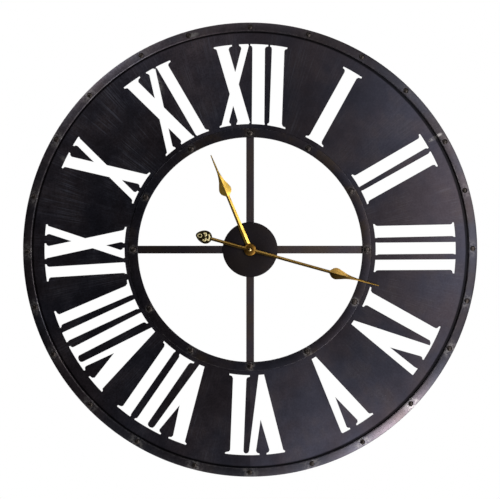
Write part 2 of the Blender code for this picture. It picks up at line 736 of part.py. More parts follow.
def build_motion_works(phases):
    """The minute arbor with its cannon pinion, the minute-work wheel and the hour wheel."""
    tip, hand_seat = MINUTE_BACK - 4.1, MINUTE_BACK - 2.1
    arbor = stack([
        (circle(1.2, 14), tip, hand_seat),
        (circle(1.75, 16), hand_seat, CANNON_LAYER[0]),
        gear_layers(CANNON_TEETH, CANNON_MODULE, phases["cannon"], *CANNON_LAYER),
        (circle(1.5, 16), CANNON_LAYER[1], BRIDGE_FRONT - GAP),
        (circle(0.9, 12), BRIDGE_FRONT - GAP, BRIDGE_BACK)])
    add("minute_arbor", arbor, BRIGHT)
    work = stack([
        (circle(PIVOT, 10), PIVOT_FRONT, PIVOT_SHOULDER),
        gear_layers(WORK_PINION_TEETH, HOUR_MODULE, phases["work_pinion"], PIVOT_SHOULDER, CANNON_LAYER[0]),
        gear_layers(WORK_WHEEL_TEETH, CANNON_MODULE, phases["work_wheel"], *CANNON_LAYER),
        (circle(0.9, 12), CANNON_LAYER[1], BRIDGE_BACK + GAP)])
    add("minute_work_wheel", work, WHITE_PLASTIC, at=WORK_AXIS)
    hour = stack([
        (circle(2.5, 16), HOUR_BACK - 1.8, HOUR_LAYER[0]),
        gear_layers(HOUR_TEETH, HOUR_MODULE, phases["hour"], *HOUR_LAYER)], circle(2.05, 16))
    add("hour_wheel", hour, WHITE_PLASTIC)
    flutes = []
    for i in range(24):
        flutes.append(polar(i * 15, 5.2 if i % 2 else 4.6))
    knob = stack([(circle(KNOB_STEM, 14), BRIDGE_BACK + 2 * GAP, CASE_BACK + GAP),
                  (flutes, CASE_BACK + GAP, WALL - 0.5)])
    add("setting_knob", knob, PLASTIC, at=WORK_AXIS)


def build_train(phases):
    """The going train, from the stepping motor's rotor down to the centre wheel."""
    def arbor(pinion_phase, pinion_module, pinion_layer, wheel, wheel_layer):
        """A pivot, a wheel and a pinion, a body between them, and a pivot in the bridge."""
        pinion = gear_outline(PINION_TEETH, pinion_module, pinion_phase)
        body = circle(PIVOT + 0.1, 10)
        front, back = sorted(((pinion, *pinion_layer), (wheel, *wheel_layer)), key=lambda layer: layer[1])
        return stack([(circle(PIVOT, 10), PIVOT_FRONT, PIVOT_SHOULDER),
                      (body, PIVOT_SHOULDER, front[1]), front, (body, front[2], back[1]), back,
                      (body, back[2], BRIDGE_FRONT - GAP),
                      (circle(PIVOT, 10), BRIDGE_FRONT - GAP, BRIDGE_BACK)])

    def wide(layer):
        return layer[0] - PINION_BULGE, layer[1] + PINION_BULGE

    centre = stack([gear_layers(CENTRE_TEETH, CENTRE_MODULE, phases["centre"], *CENTRE_LAYER)],
                   circle(1.5 + GAP, 16))
    add("centre_wheel", centre, BRASS)
    third = gear_outline(THIRD_TEETH, TRAIN_MODULE, phases["third"])
    add("third_wheel", arbor(phases["third_pinion"], CENTRE_MODULE, wide(CENTRE_LAYER), third, THIRD_LAYER),
        WHITE_PLASTIC, at=THIRD_AXIS)
    seconds = gear_outline(SECONDS_TEETH, TRAIN_MODULE, phases["seconds"])
    add("seconds_wheel", arbor(phases["seconds_pinion"], TRAIN_MODULE, wide(THIRD_LAYER), seconds, SECONDS_LAYER),
        WHITE_PLASTIC, at=SECONDS_AXIS)
    fifth = gear_outline(FIFTH_TEETH, TRAIN_MODULE, phases["fifth"])
    add("fifth_wheel", arbor(phases["fifth_pinion"], TRAIN_MODULE, wide(SECONDS_LAYER), fifth, FIFTH_LAYER),
        WHITE_PLASTIC, at=FIFTH_AXIS)
    magnet = circle(3.0, 20)
    add("rotor", arbor(phases["rotor_pinion"], TRAIN_MODULE, wide(FIFTH_LAYER), magnet, MAGNET_LAYER),
        BRIGHT, at=ROTOR_AXIS)


def train_phases():
    """Every gear's phase, worked out along the line of centres of each meshing pair."""
    def direction(angle):
        return math.radians(angle)

    phases = {"cannon": 0.0, "work_pinion": 0.0, "rotor_pinion": 0.0, "fifth_pinion": 0.0,
              "seconds_pinion": 0.0, "third_pinion": 0.0}
    phases["work_wheel"] = meshed_phase(CANNON_TEETH, 0.0, WORK_WHEEL_TEETH, direction(WORK_DIRECTION))
    phases["hour"] = meshed_phase(WORK_PINION_TEETH, 0.0, HOUR_TEETH, direction(WORK_DIRECTION + 180))
    phases["fifth"] = meshed_phase(PINION_TEETH, 0.0, FIFTH_TEETH, direction(ROTOR_DIRECTION + 180))
    phases["seconds"] = meshed_phase(PINION_TEETH, 0.0, SECONDS_TEETH, direction(FIFTH_DIRECTION + 180))
    phases["third"] = meshed_phase(PINION_TEETH, 0.0, THIRD_TEETH, direction(SECONDS_DIRECTION + 180))
    phases["centre"] = meshed_phase(PINION_TEETH, 0.0, CENTRE_TEETH, direction(THIRD_DIRECTION + 180))
    return phases


def build_bridge():
    """The plate that carries the back pivots."""
    pivots = [circle(PIVOT_HOLE, 10, place) for place in (THIRD_AXIS, SECONDS_AXIS, FIFTH_AXIS, ROTOR_AXIS)]
    shafts = [circle(0.9 + GAP, 12, place) for place in (ARBOR, WORK_AXIS)]
    outline = [(-16, -4), (-5, -8), (13, -8), (17, -2), (17, 14), (8, 20), (-10, 20), (-16, 14)]
    add("train_bridge", plate(outline, pivots + shafts, BRIDGE_FRONT, BRIDGE_BACK), WHITE_PLASTIC)


def build_motor():
    """The U-shaped stator round the rotor, and the coil on the core that closes it."""
    x, z = ROTOR_AXIS
    bottom, top, end = z - 5.4, z + 9.4, -19.2
    leg = 3.0
    right, left = x + 4.1, x - 5.0
    outline = [(end, bottom), (right, bottom), (right, top), (end, top), (end, top - leg),
               (left, top - leg), (left, bottom + leg), (end, bottom + leg)]
    add("stator", plate(outline, [circle(3.5, 20, ROTOR_AXIS)], *STATOR_LAYER), BRIGHT)
    core_right = end - GAP
    core_left = core_right - 2.0
    add("coil_core", block((core_left, STATOR_LAYER[0], bottom), (core_right, STATOR_LAYER[1], top)), BRIGHT)
    middle = ((core_left + core_right) / 2, sum(STATOR_LAYER) / 2, 0)
    winding = add("coil_winding", rod(2.6, bottom + leg + GAP, top - leg - GAP, "Z", 20, middle), COPPER)
    combine(winding, rod(1.45, bottom, top, "Z", 12, middle), "DIFFERENCE")


def build_board():
    """The circuit board behind the bridge, with the quartz can lying on its back."""
    front = BRIDGE_BACK + GAP
    back = front + 0.7
    add("circuit_board", block((4, front, 5), (25, back, 25)), BOARD)
    can = 0.7
    add("quartz_crystal", rod(can, 9, 15, "X", 12, (0, back + GAP + can, 21)), BRIGHT)


def main():
    for old in list(bpy.data.objects):
        bpy.data.objects.remove(old)
    build_rim()
    build_ring()
    build_bars()
    build_disc()
    build_hanger()
    build_dial()
    build_hour_hand()
    build_minute_hand()
    build_hand_nut()
    build_case()
    build_clamp()
    build_battery()
    phases = train_phases()
    build_motion_works(phases)
    build_train(phases)
    build_bridge()
    build_motor()
    build_board()


main()
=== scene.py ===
"""Looks for a riveted steel wall clock with pierced Roman numerals and folded brass hands.

Metres throughout, in the frame of the CAD model: X right, Z up, the dial faces -Y, and the hands'
arbor is the Y axis. Angles round the dial are counted clockwise from twelve o'clock.
"""

import json
import math

import bmesh
import bpy
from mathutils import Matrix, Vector, noise

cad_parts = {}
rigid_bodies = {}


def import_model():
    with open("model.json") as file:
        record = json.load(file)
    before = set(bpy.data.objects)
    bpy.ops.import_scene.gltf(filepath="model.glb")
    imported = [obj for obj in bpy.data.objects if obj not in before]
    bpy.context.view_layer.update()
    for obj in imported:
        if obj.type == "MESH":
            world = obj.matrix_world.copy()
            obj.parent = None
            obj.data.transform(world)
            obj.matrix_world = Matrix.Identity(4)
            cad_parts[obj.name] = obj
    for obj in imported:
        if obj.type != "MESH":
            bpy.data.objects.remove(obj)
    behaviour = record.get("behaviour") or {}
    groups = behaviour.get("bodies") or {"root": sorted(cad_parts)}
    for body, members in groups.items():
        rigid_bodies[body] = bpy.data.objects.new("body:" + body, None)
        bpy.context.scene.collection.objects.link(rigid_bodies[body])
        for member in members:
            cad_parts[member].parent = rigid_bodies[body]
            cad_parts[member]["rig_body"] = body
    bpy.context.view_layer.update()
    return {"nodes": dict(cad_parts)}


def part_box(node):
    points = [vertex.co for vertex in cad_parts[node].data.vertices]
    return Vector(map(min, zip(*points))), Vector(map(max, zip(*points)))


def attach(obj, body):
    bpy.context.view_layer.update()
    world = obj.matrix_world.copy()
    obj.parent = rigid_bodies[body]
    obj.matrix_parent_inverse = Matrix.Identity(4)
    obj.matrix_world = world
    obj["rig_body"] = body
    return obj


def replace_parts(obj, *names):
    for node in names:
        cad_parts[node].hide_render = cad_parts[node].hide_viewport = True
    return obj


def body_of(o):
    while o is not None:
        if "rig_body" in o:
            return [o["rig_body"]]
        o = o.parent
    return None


MM = 0.001

# Sizes that the CAD model's boxes don't give
RIM_WIDTH = 15.4 * MM
SKIRT = 3.0 * MM
RIVET_CIRCLE = 392.0 * MM
RIM_RIVETS = 24
RING_DRIFTS = (0, 0, 0, 0, -3.4, 0.7, 0, 0.5, -0.5, 0, -3.4, -0.4)      # of hand-set rivets, in degrees
RING_RIVET_CIRCLE = 205.6 * MM
RING_INNER = 197.8 * MM
RING_OUTER = 214.2 * MM
RING_THICKNESS = 2.5 * MM
GAP = 0.3 * MM
BUSH_HOLE = 4.3 * MM
HOUR_ANGLE = 337.4
MINUTE_ANGLE = 105.6
BRASS_SHEET = 0.5 * MM

# Rubbed places on the steel: clock angle in degrees, then radius, half length and half width in mm
DIAL_SPOTS = ((58.8, 378, 13, 4.5), (331, 340, 30, 9), (296, 355, 22, 7))
RIM_SPOTS = ((58.8, 388, 9, 4.5), (345, 391, 6, 14), (255, 390, 8, 9))

# Sectors of painted sheen and shade, where the steel is painted lighter or darker in place of lit gloss:
# clock angle from -180 to 180, half spread in degrees, and how many times lighter the steel is there
DIAL_SHEEN_SECTORS = ((165, 32, 1.8), (-17, 24, 1.6), (45, 20, 1.2))
RIM_SHEEN_SECTORS = ((155, 36, 2.3), (36, 20, 1.9), (-24, 24, 1.9), (70, 22, 0.65))

# How the rim's face falls away: distance in from the edge, and the fall there, in mm
RIM_CROWN = ((10.5, 0.03), (8.0, 0.13), (6.0, 0.27), (4.0, 0.47), (2.0, 0.74), (1.0, 0.90))

CAMERA_DISTANCE = 3.0
FRAME_WIDTH = 0.8815          # what the picture's width covers at the dial
FLOOR = -1.25
AMBIENT = 0.0040              # strength of the even light from everywhere

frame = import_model()
nodes = frame["nodes"]


def depth_of(node):
    """The front and back of a CAD node, in Y."""
    low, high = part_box(node)
    return low[1], high[1]


DIAL_FRONT, DIAL_BACK = depth_of("dial_plate")
WALL = depth_of("outer_rim")[1]
RIM_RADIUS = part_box("outer_rim")[1][0]
RIM_BACK = DIAL_FRONT - GAP
RIM_FRONT = depth_of("outer_rim")[0]
RING_BACK = DIAL_FRONT - GAP
RING_FRONT = RING_BACK - RING_THICKNESS
BAR_BACK = depth_of("vertical_bar")[1]


def middle_of(node):
    low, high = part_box(node)
    return (low[0] + high[0]) / 2, (low[2] + high[2]) / 2


RIM_PLACES = [middle_of(f"rim_rivet_{i + 1:02d}") for i in range(RIM_RIVETS)]
RIM_DRIFTS = []
for index, (across, up) in enumerate(RIM_PLACES):
    stray = math.degrees(math.atan2(across, up)) - 360 * index / RIM_RIVETS
    RIM_DRIFTS.append((stray + 180) % 360 - 180)


# --- Shader nodes ----------------------------------------------------------------------------

class Recipe:
    """A node material, written as sums on sockets."""

    def __init__(self, name):
        self.material = bpy.data.materials.new(name)
        self.material.use_nodes = True
        self.tree = self.material.node_tree
        self.shader = self.tree.nodes["Principled BSDF"]
        self.place = self.tree.nodes.new("ShaderNodeTexCoord").outputs["Object"]

    def node(self, kind, inputs=(), **settings):
        made = self.tree.nodes.new(kind)
        for key, value in settings.items():
            setattr(made, key, value)
        for key, value in dict(inputs).items():
            self.feed(made.inputs[key], value)
        return made

    def feed(self, socket, value):
        if isinstance(value, bpy.types.NodeSocket):
            self.tree.links.new(value, socket)
        else:
            socket.default_value = value

    def math(self, operation, *values):
        made = self.node("ShaderNodeMath", operation=operation)
        for socket, value in zip(made.inputs, values):
            self.feed(socket, value)
        return made.outputs[0]

    def length(self, first, second):
        squares = self.math("ADD", self.math("MULTIPLY", first, first), self.math("MULTIPLY", second, second))
        return self.math("SQRT", squares)

    def split(self, vector):
        return self.node("ShaderNodeSeparateXYZ", {"Vector": vector}).outputs

    def vector(self, x, y, z):
        return self.node("ShaderNodeCombineXYZ", {"X": x, "Y": y, "Z": z}).outputs[0]

    def noise(self, vector, scale, detail=3.0, rough=0.55):
        inputs = {"Vector": vector, "Scale": scale, "Detail": detail, "Roughness": rough}
        return self.node("ShaderNodeTexNoise", inputs).outputs["Fac"]

    def ramp(self, value, low, high, start=0.0, end=1.0):
        """value's range low..high mapped to start..end, clamped and eased."""
        inputs = {"Value": value, "From Min": low, "From Max": high, "To Min": start, "To Max": end}
        made = self.node("ShaderNodeMapRange", inputs, interpolation_type="SMOOTHSTEP")
        return made.outputs["Result"]

    def mix(self, share, first, second, blend="MIX"):
        made = self.node("ShaderNodeMix", data_type="RGBA", blend_type=blend)
        self.feed(made.inputs["Factor"], share)
        self.feed(made.inputs["A"], (*first, 1) if isinstance(first, tuple) else first)
        self.feed(made.inputs["B"], (*second, 1) if isinstance(second, tuple) else second)
        return made.outputs["Result"]

    def steps(self, share, levels):
        """One of the levels (each 0..1), by the equal part of 0..1 that share falls in."""
        made = self.node("ShaderNodeValToRGB", {"Fac": share})
        made.color_ramp.interpolation = "CONSTANT"
        stops = made.color_ramp.elements
        stops.remove(stops[1])
        stops[0].color = (*[levels[0]] * 3, 1)
        for i, level in enumerate(levels[1:], 1):
            stops.new(i / len(levels)).color = (level, level, level, 1)
        return made.outputs["Color"]

    def scaled(self, colour, share):
        """A colour made lighter or darker by a factor."""
        grey = self.node("ShaderNodeCombineColor", {"Red": share, "Green": share, "Blue": share}).outputs[0]
        return self.mix(1.0, colour, grey, "MULTIPLY")

    def bump(self, height, strength, distance, normal=None):
        inputs = {"Height": height, "Strength": strength, "Distance": distance}
        if normal:
            inputs["Normal"] = normal
        return self.node("ShaderNodeBump", inputs).outputs["Normal"]

    def finish(self, **inputs):
        for key, value in inputs.items():
            name = key.replace("_", " ").title()
            if isinstance(value, tuple) and len(value) == 3:
                value = (*value, 1)
            self.feed(self.shader.inputs[name], value)
        return self.material


def polar(recipe):
    """Clock angle in radians and radius in metres of a shading point."""
    x, _, z = recipe.split(recipe.place)
    angle = recipe.math("ARCTAN2", x, z)
    return angle, recipe.length(x, z)


def radial_brush(recipe, angle, radius):
    """Fine streaks that run outward from the hub, with a fainter set across them."""
    along = recipe.vector(recipe.math("MULTIPLY", angle, 150), recipe.math("MULTIPLY", radius, 10), 0.0)
    fine = recipe.noise(along, 1.0, 4.0, 0.65)
    tilted = recipe.node("ShaderNodeMapping", {"Vector": recipe.place, "Rotation": (0, 0.9, 0),
                                               "Scale": (300, 1, 20)}).outputs[0]
    cross = recipe.noise(tilted, 1.0, 2.0, 0.6)
    return recipe.math("ADD", recipe.math("MULTIPLY", fine, 0.86), recipe.math("MULTIPLY", cross, 0.14))


def near_rivets(recipe, angle, radius, drifts, circle, reach):
    """1 at the nearest rivet's middle, falling to 0 at a reach from it along the rim."""
    count = len(drifts)
    pitch = 2 * math.pi / count
    turns = recipe.math("DIVIDE", angle, pitch)
    share = recipe.math("FRACT", recipe.math("DIVIDE", recipe.math("ADD", turns, 0.5), count))
    drift = recipe.math("SUBTRACT", recipe.steps(share, [0.5 + math.radians(d) for d in drifts]), 0.5)
    part = recipe.math("MULTIPLY", recipe.math("SUBTRACT", turns, recipe.math("ROUND", turns)), pitch)
    across = recipe.math("MULTIPLY", recipe.math("SUBTRACT", part, drift), radius)
    out = recipe.math("SUBTRACT", radius, circle)
    return recipe.ramp(recipe.length(across, out), reach * 0.3, reach, 1.0, 0.0)


BLUE_BLACK = (0.044, 0.043, 0.060)
VIOLET_BLACK = (0.056, 0.046, 0.056)
BROWN_BLACK = (0.060, 0.044, 0.036)
# The light blue of the brush lines' painted glints
BRUSH_GLINT_BLUE = (0.150, 0.155, 0.200)
BARE_STEEL = (0.50, 0.47, 0.46)


def edge_wear_and_glint(recipe, radius, edges, grain):
    """Broken bright lines along circular edges: partly worn paint, partly painted highlight."""
    worn = 0.0
    for edge in edges:
        gap = recipe.math("ABSOLUTE", recipe.math("SUBTRACT", radius, edge))
        worn = recipe.math("MAXIMUM", worn, recipe.ramp(gap, 0.3 * MM, 1.5 * MM, 1.0, 0.0))
    return recipe.math("MULTIPLY", worn, recipe.ramp(grain, 0.42, 0.68))


def rubbed(recipe, angle, radius, spots, grain):
    """Places where the paint is rubbed through: (clock angle, radius, half length, half width)."""
    worn = 0.0
    for clock, where, length, width in spots:
        turned = math.radians((clock + 180) % 360 - 180)
        across = recipe.math("MULTIPLY", recipe.math("SUBTRACT", angle, turned), radius)
        along = recipe.math("DIVIDE", recipe.math("SUBTRACT", radius, where * MM), length * MM)
        across = recipe.math("DIVIDE", across, width * MM)
        worn = recipe.math("MAXIMUM", worn, recipe.ramp(recipe.length(along, across), 0.2, 1.0, 1.0, 0.0))
    return recipe.math("MULTIPLY", worn, recipe.ramp(grain, 0.34, 0.56))


def black_steel(name, tone, warmth, rough=0.34, rivets=None, brushed=1.0, edges=(), spots=(),
                shadow_seams=(), turned=0.0, sheen_sectors=(), tints=(BLUE_BLACK, VIOLET_BLACK)):
    """Blackened mild steel: cloudy blue, violet and brown tints, a radial brush and scuffed paint.

    rivets gives near_rivets' drifts, circle and reach of the bright smears round the rivets, which are partly
    worn paint and partly painted sheen; edges are the radii of bright edge lines, partly worn paint and
    partly painted highlight; seams are the radii of painted shadows along the joints, wider towards the
    right; spots are laid out like DIAL_SPOTS, and sectors, which paint sheen and shade, like the dial's
    sectors; brushed is how strongly the brush lines are painted as glints; turned is how strongly the marks
    of the lathe stretch the gloss.
    """
    r = Recipe(name)
    angle, radius = polar(r)
    clouds = r.noise(r.place, 6.0, 4.0, 0.6)
    patches = r.noise(r.place, 17.0, 4.0, 0.6)
    mottle = r.noise(r.place, 75.0, 4.0, 0.7)
    grain = r.noise(r.place, 190.0, 4.0, 0.7)
    streaks = radial_brush(r, angle, radius)
    x, _, z = r.split(r.place)
    left = r.math("MULTIPLY", r.ramp(x, -0.22, 0.16, 1.0, 0.22), r.ramp(z, -0.25, 0.05, 0.4, 1.0))
    # How far a point lies towards seven o'clock, where the bright smears round the rivets are strongest:
    # partly worn paint, partly painted sheen
    below = r.math("ADD", r.math("MULTIPLY", x, -0.5), r.math("MULTIPLY", z, -0.866))
    scuff_and_sheen_side = r.ramp(below, -0.30, 0.12, 0.15, 1.0)
    tint = r.mix(r.ramp(clouds, 0.38, 0.62), *tints)
    tint = r.mix(r.math("MULTIPLY", r.ramp(patches, 0.47, 0.66), warmth), tint, BROWN_BLACK)
    fine = r.noise(r.place, 330.0, 3.0, 0.7)
    uneven = r.math("MULTIPLY", r.ramp(mottle, 0.3, 0.7, 0.84, 1.16), r.ramp(patches, 0.3, 0.7, 0.88, 1.12))
    uneven = r.math("MULTIPLY", uneven, r.ramp(fine, 0.3, 0.7, 0.78, 1.22))
    calm = r.ramp(x, -0.24, 0.12, 1.0, 0.4)
    shade = r.math("ADD", 1.0, r.math("MULTIPLY", r.math("SUBTRACT", uneven, 1.0), calm))
    # Painted sheen: the steel is darker towards the hub and lighter towards the rim
    shade = r.math("MULTIPLY", shade, r.ramp(radius, 0.22, 0.40, 0.88 * tone, 1.22 * tone))
    # Painted sheen and shade: each sector of the steel is made lighter or darker
    for clock, spread, gain in sheen_sectors:
        off = r.math("ABSOLUTE", r.math("SUBTRACT", angle, math.radians(clock)))
        spread = math.radians(spread)
        shade = r.math("MULTIPLY", shade, r.ramp(off, spread * 0.2, spread, gain, 1.0))
    tint = r.scaled(tint, shade)
    # The brush lines are painted as light glints where the left mask is high, towards the upper left: painted
    # highlights
    drifts = r.math("MULTIPLY", r.ramp(patches, 0.40, 0.62, 0.05, 1.0), left)
    lines = r.math("MULTIPLY", r.ramp(streaks, 0.49, 0.66), r.math("MULTIPLY", drifts, 0.85 * brushed))
    colour = r.mix(lines, tint, BRUSH_GLINT_BLUE)
    specks = r.ramp(r.noise(r.place, 900.0, 2.0, 0.7), 0.64, 0.74)
    worn = r.math("MULTIPLY", specks, r.ramp(patches, 0.5, 0.7, 0.0, 0.3))
    if rivets:
        halo = near_rivets(r, angle, radius, *rivets)
        scuff_and_sheen = r.math("MULTIPLY", r.math("MULTIPLY", halo, scuff_and_sheen_side), r.ramp(grain, 0.40, 0.62))
        worn = r.math("MAXIMUM", worn, r.math("MULTIPLY", scuff_and_sheen, 0.6))
    # Bright lines along the edges: partly worn paint, partly painted highlight
    if edges:
        worn = r.math("MAXIMUM", worn, r.math("MULTIPLY", edge_wear_and_glint(r, radius, edges, grain), 0.22))
    if spots:
        worn = r.math("MAXIMUM", worn, r.math("MULTIPLY", rubbed(r, angle, radius, spots, grain), 0.9))
    colour = r.mix(worn, colour, BARE_STEEL)
    # Painted shadow along the joint by the rim's inner edge, wider towards the right where the rim's shadow
    # falls
    for shadow_seam in shadow_seams:
        gap = r.math("ABSOLUTE", r.math("SUBTRACT", radius, shadow_seam))
        gap = r.math("SUBTRACT", gap, r.ramp(x, 0.0, 0.3, 0.0, 2.0 * MM))
        colour = r.scaled(colour, r.ramp(gap, 1.0 * MM, 3.2 * MM, 0.16, 1.0))
    roughness = r.math("ADD", rough - 0.07, r.math("MULTIPLY", patches, 0.16))
    waves = r.bump(r.noise(r.place, 11.0, 2.0, 0.5), 0.35, 0.0012)
    normal = r.bump(streaks, 0.10, 0.0002, waves)
    if turned:
        grooves = r.node("ShaderNodeTangent", direction_type="RADIAL", axis="Y").outputs[0]
        r.finish(anisotropic=turned, anisotropic_rotation=0.25, tangent=grooves)
    return r.finish(base_color=colour, roughness=roughness, metallic=0.92, normal=normal)


def painted_black(name, tone, warmth, rough=0.38, left=1.0):
    """The centre disc, the bars and the hanger: the same steel under a browner, less brushed coat."""
    r = Recipe(name)
    clouds = r.noise(r.place, 14.0, 4.0, 0.6)
    grain = r.noise(r.place, 520.0, 3.0, 0.7)
    tint = r.mix(r.math("MULTIPLY", r.ramp(clouds, 0.35, 0.65), warmth), VIOLET_BLACK, BROWN_BLACK)
    x, _, _ = r.split(r.place)
    # left sets how much darker the left side is painted: painted shade
    shade = r.math("MULTIPLY", r.ramp(x, -0.16, 0.04, left, 1.0), tone)
    colour = r.scaled(tint, r.math("MULTIPLY", shade, r.math("ADD", 0.72, r.math("MULTIPLY", grain, 0.5))))
    worn = r.math("MULTIPLY", r.ramp(grain, 0.68, 0.78), r.ramp(clouds, 0.5, 0.7, 0.0, 0.5))
    colour = r.mix(worn, colour, BARE_STEEL)
    normal = r.bump(grain, 0.18, 0.0003, r.bump(clouds, 0.3, 0.0008))
    roughness = r.math("ADD", rough - 0.05, r.math("MULTIPLY", clouds, 0.12))
    return r.finish(base_color=colour, roughness=roughness, metallic=0.9, normal=normal)


def rivet_steel(name):
    """Rivet heads: blackened, with the paint rubbed off their crowns."""
    r = Recipe(name)
    grain = r.noise(r.place, 420.0, 3.0, 0.65)
    clouds = r.noise(r.place, 60.0, 3.0, 0.6)
    worn = r.math("MULTIPLY", r.ramp(grain, 0.48, 0.68), r.ramp(clouds, 0.4, 0.65, 0.1, 0.5))
    colour = r.mix(worn, (0.052, 0.043, 0.040), (0.20, 0.17, 0.145))
    return r.finish(base_color=colour, roughness=0.36, metallic=0.95, normal=r.bump(grain, 0.2, 0.0003))


def brass(name, colour=(0.84, 0.53, 0.12), dark=(0.42, 0.22, 0.04), rough=0.28, tarnish=0.35,
          metallic=1.0, sides=None):
    """Polished brass sheet with patchy tarnish and fingerprints in its gloss.

    sides gives a hand's clock angle and a factor for the colour of each side of its ridge: the side that
    lies anticlockwise of it, lightened as a painted highlight, and the other, darkened as painted shade.
    """
    r = Recipe(name)
    clouds = r.noise(r.place, 60.0, 2.0, 0.5)
    fine = r.noise(r.place, 160.0, 2.0, 0.5)
    share = r.math("MULTIPLY", r.ramp(clouds, 0.46, 0.72), tarnish)
    tint = r.mix(share, colour, dark)
    if sides:
        # Painted light: one side of the ridge lighter, the other darker, the dark side fading to the light
        # one towards the tip
        turn, lit_factor, shaded_factor = sides
        x, _, z = r.split(r.place)
        across = r.math("ADD", r.math("MULTIPLY", x, -math.cos(math.radians(turn))),
                        r.math("MULTIPLY", z, math.sin(math.radians(turn))))
        _, radius = polar(r)
        low = r.ramp(radius, 170 * MM, 200 * MM, shaded_factor, lit_factor)
        tint = r.scaled(tint, r.ramp(across, -0.3 * MM, 0.3 * MM, low, lit_factor))
    roughness = r.math("ADD", rough - 0.04, r.math("MULTIPLY", clouds, 0.10))
    normal = r.bump(fine, 0.04, 0.0002)
    return r.finish(base_color=tint, roughness=roughness, metallic=metallic, normal=normal)


def moulded(name, colour, rough=0.5, grain_size=1400.0):
    """Moulded plastic with a fine spark-eroded grain."""
    r = Recipe(name)
    grain = r.noise(r.place, grain_size, 2.0, 0.6)
    clouds = r.noise(r.place, 40.0, 3.0, 0.6)
    tint = r.scaled(colour, r.math("ADD", 0.86, r.math("MULTIPLY", clouds, 0.28)))
    roughness = r.math("ADD", rough - 0.06, r.math("MULTIPLY", clouds, 0.12))
    return r.finish(base_color=tint, roughness=roughness, normal=r.bump(grain, 0.22, 0.0002))


def bright_metal(name, colour):
    """Drawn steel with fine lines along it."""
    r = Recipe(name)
    stretched = r.node("ShaderNodeMapping", {"Vector": r.place, "Scale": (1500, 1500, 90)}).outputs[0]
    lines = r.noise(stretched, 1.0, 3.0, 0.6)
    tint = r.scaled(colour, r.math("ADD", 0.82, r.math("MULTIPLY", lines, 0.36)))
    roughness = r.math("ADD", 0.24, r.math("MULTIPLY", lines, 0.12))
    return r.finish(base_color=tint, roughness=roughness, metallic=1.0, normal=r.bump(lines, 0.12, 0.0001))


def wound_copper(name):
    """Enamelled wire in even turns along Z, with painted shade between the turns and highlight on them."""
    r = Recipe(name)
    turns = r.node("ShaderNodeTexWave", {"Vector": r.place, "Scale": 1900.0, "Distortion": 0.4},
                   bands_direction="Z").outputs["Fac"]
    colour = r.mix(turns, (0.30, 0.08, 0.025), (0.80, 0.34, 0.13))
    return r.finish(base_color=colour, roughness=0.32, metallic=0.9, normal=r.bump(turns, 0.6, 0.0002))


def board_green(name):
    """Solder mask with copper tracks showing faintly under it."""
    r = Recipe(name)
    inputs = {"Vector": r.place, "Scale": 260.0, "Distortion": 7.0, "Detail": 1.0}
    tracks = r.node("ShaderNodeTexWave", inputs, bands_direction="DIAGONAL").outputs["Fac"]
    colour = r.mix(r.ramp(tracks, 0.62, 0.72), (0.015, 0.10, 0.035), (0.05, 0.22, 0.08))
    return r.finish(base_color=colour, roughness=0.3, normal=r.bump(tracks, 0.2, 0.0001))


def cell_sleeve(name, low, high):
    """A printed sleeve with no words: black, with a copper band at the positive end."""
    r = Recipe(name)
    x, _, _ = r.split(r.place)
    share = r.ramp(x, high - 0.0142, high - 0.0138)
    colour = r.mix(share, (0.012, 0.012, 0.014), (0.62, 0.30, 0.12))
    fine = r.noise(r.place, 300.0, 2.0, 0.5)
    ends = r.math("MAXIMUM", r.ramp(x, high - 0.0016, high - 0.0014), r.ramp(x, low + 0.0006, low + 0.0004))
    colour = r.mix(ends, colour, (0.62, 0.62, 0.62))
    metallic = r.math("MAXIMUM", r.math("MULTIPLY", share, 0.8), ends)
    roughness = r.math("ADD", 0.2, r.math("MULTIPLY", fine, 0.12))
    return r.finish(base_color=colour, roughness=roughness, metallic=metallic)


# --- Meshes ----------------------------------------------------------------------------------

def make(name, bm, material, body="clock", smooth_angle=35):
    """An object from a bmesh, shaded smooth except at sharp edges, riding on a body."""
    bmesh.ops.recalc_face_normals(bm, faces=bm.faces)
    mesh = bpy.data.meshes.new(name)
    bm.to_mesh(mesh)
    bm.free()
    made = bpy.data.objects.new(name, mesh)
    bpy.context.collection.objects.link(made)
    mesh.materials.append(material)
    mesh.shade_smooth()
    mesh.set_sharp_from_angle(angle=math.radians(smooth_angle))
    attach(made, body)
    return made


def rounded(profile, steps=4):
    """A closed (radius, depth, rounding) profile with its corners rounded."""
    out = []
    count = len(profile)
    for i, (r, y, soft) in enumerate(profile):
        if not soft:
            out.append((r, y))
            continue
        here = Vector((r, y))
        before = (Vector(profile[i - 1][:2]) - here).normalized() * soft * MM
        after = (Vector(profile[(i + 1) % count][:2]) - here).normalized() * soft * MM
        for k in range(steps + 1):
            t = k / steps
            point = here + before * (1 - t) ** 2 + after * t ** 2
            out.append((point.x, point.y))
    return out


def lathe(profile, count):
    """A ring or disc turned about the Y axis from a closed (radius, depth) profile."""
    bm = bmesh.new()
    rings = []
    for r, y in profile:
        if r < 1e-7:
            rings.append([bm.verts.new((0, y, 0))])
            continue
        ring = []
        for i in range(count):
            a = 2 * math.pi * i / count
            ring.append(bm.verts.new((r * math.sin(a), y, r * math.cos(a))))
        rings.append(ring)
    for first, second in zip(rings, rings[1:] + rings[:1]):
        if len(first) == 1 and len(second) == 1:
            continue
        for i in range(count):
            k = (i + 1) % count
            corners = [first[i % len(first)], first[k % len(first)],
                       second[k % len(second)], second[i % len(second)]]
            bm.faces.new(list(dict.fromkeys(corners)))
    return bm


